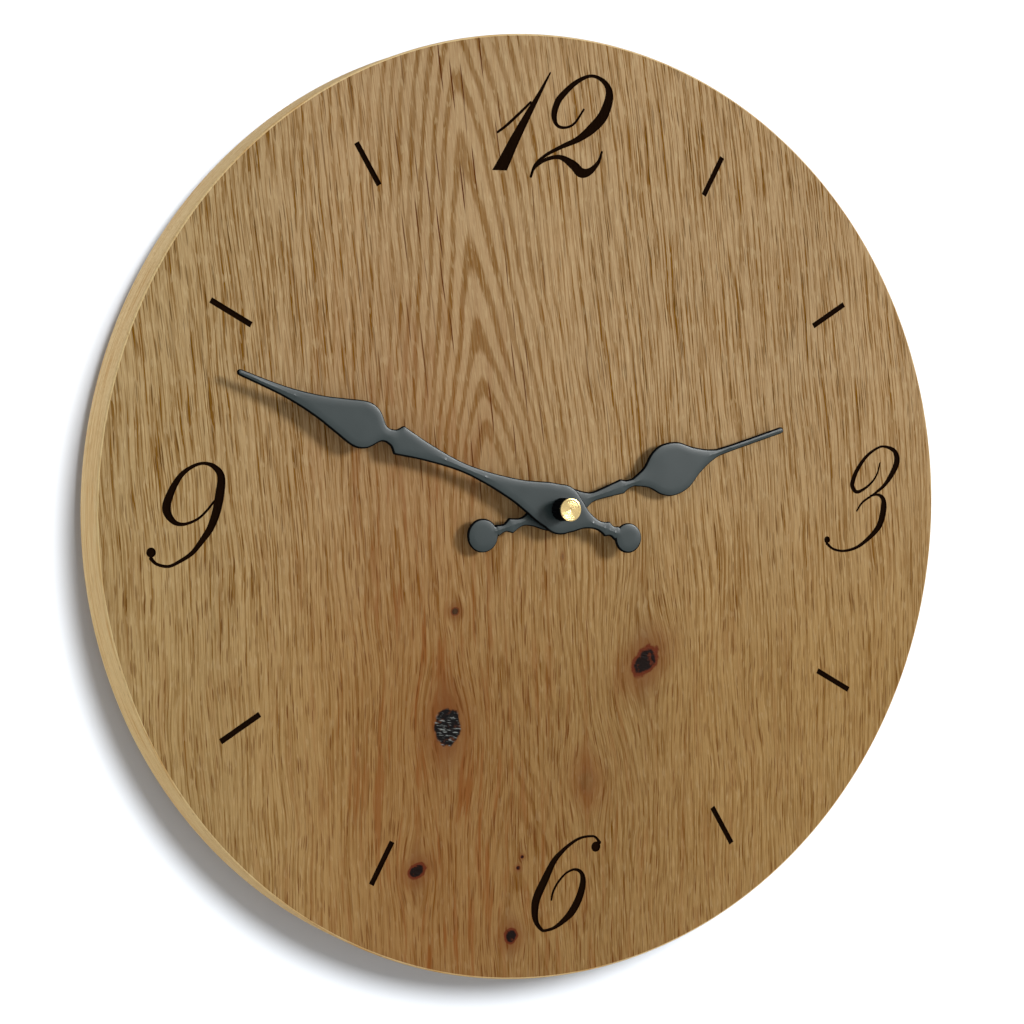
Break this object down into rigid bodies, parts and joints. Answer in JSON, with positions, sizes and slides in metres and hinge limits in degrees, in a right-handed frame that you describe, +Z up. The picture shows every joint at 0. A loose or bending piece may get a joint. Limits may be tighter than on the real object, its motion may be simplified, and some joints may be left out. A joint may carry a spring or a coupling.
{
  "type": "wall clock",
  "caption": "Round solid-oak wall clock with burnt script numerals, black leaf hands and a battery movement behind the dial.",
  "frame": {"origin": "on the hands' axis, in the plane of the wall, which is the flat back of the movement's case", "axes": "+Z up towards twelve o'clock, +Y into the wall, so the dial faces -Y and three o'clock is at +X"},
  "size_m": [0.3, 0.0331, 0.3],
  "materials": {
    "oak": "brushed and oiled, vertical grain",
    "hand_paint": "satin slate-black lacquer",
    "brass": "turned, bright",
    "steel": "zinc-plated sheet",
    "black_plastic": "moulded, fine spark texture",
    "white_plastic": "moulded acetal",
    "black_rubber": "matt",
    "board": "glass-fibre board with solder mask",
    "battery_jacket": "shrunk film over the cell, plain",
    "copper": "enamelled copper wire"
  },
  "bodies": {
    "clock_body": {"dial_disc": "oak", "wall_bumper_left": "black_rubber", "wall_bumper_right": "black_rubber", "rear_case": "black_plastic", "front_cover": "black_plastic", "train_bridge": "white_plastic", "threaded_bushing": "brass", "hanger_plate": "steel", "rubber_washer": "black_rubber", "dial_washer": "brass", "hex_nut": "brass", "positive_contact": "steel", "negative_contact": "steel", "circuit_board": "board", "control_chip": "black_plastic", "quartz_crystal": "steel", "stator_plate": "steel", "coil_core": "steel", "coil_bobbin": "white_plastic", "coil_winding": "copper"},
    "minute_work": {"minute_hand": "hand_paint", "minute_hand_bush": "hand_paint", "hand_cap": "brass", "minute_shaft": "brass", "centre_wheel": "white_plastic"},
    "hour_work": {"hour_hand": "hand_paint", "hour_hand_collet": "brass", "hour_wheel": "white_plastic"},
    "setting_work": {"minute_wheel": "white_plastic", "setting_knob": "white_plastic"},
    "third_work": {"third_wheel": "white_plastic"},
    "seconds_work": {"seconds_wheel": "white_plastic"},
    "step_work": {"step_wheel": "white_plastic"},
    "rotor": {"rotor_magnet": "steel", "rotor_pinion": "white_plastic"},
    "battery": {"battery": "battery_jacket"}
  },
  "joints": [
    {"name": "minute_hand_turn", "type": "hinge", "parent": "clock_body", "child": "minute_work", "pos_m": [0, 0, 0], "axis": [0, 1, 0], "continuous": true},
    {"name": "hour_hand_turn", "type": "hinge", "parent": "clock_body", "child": "hour_work", "pos_m": [0, 0, 0], "axis": [0, 1, 0], "continuous": true},
    {"name": "setting_knob_turn", "type": "hinge", "parent": "clock_body", "child": "setting_work", "pos_m": [0.0048, 0, 0.00831], "axis": [0, 1, 0], "continuous": true},
    {"name": "third_wheel_turn", "type": "hinge", "parent": "clock_body", "child": "third_work", "pos_m": [-0.00773, 0, 0.00446], "axis": [0, 1, 0], "continuous": true},
    {"name": "seconds_wheel_turn", "type": "hinge", "parent": "clock_body", "child": "seconds_work", "pos_m": [0, 0, 0], "axis": [0, 1, 0], "continuous": true},
    {"name": "step_wheel_turn", "type": "hinge", "parent": "clock_body", "child": "step_work", "pos_m": [0.0091, 0, 0], "axis": [0, 1, 0], "continuous": true},
    {"name": "rotor_turn", "type": "hinge", "parent": "clock_body", "child": "rotor", "pos_m": [0.01338, 0, 0.00299], "axis": [0, 1, 0], "continuous": true},
    {"name": "battery_slide", "type": "slide", "parent": "clock_body", "child": "battery", "axis": [0, 1, 0], "range_m": [0, 0.03]}
  ],
  "couplings": [
    {"joint": "hour_hand_turn", "follows": "minute_hand_turn", "ratio": 0.083333},
    {"joint": "setting_knob_turn", "follows": "minute_hand_turn", "ratio": -0.33333},
    {"joint": "third_wheel_turn", "follows": "minute_hand_turn", "ratio": -8},
    {"joint": "seconds_wheel_turn", "follows": "minute_hand_turn", "ratio": 60},
    {"joint": "step_wheel_turn", "follows": "minute_hand_turn", "ratio": -360},
    {"joint": "rotor_turn", "follows": "minute_hand_turn", "ratio": 1800}
  ]
}
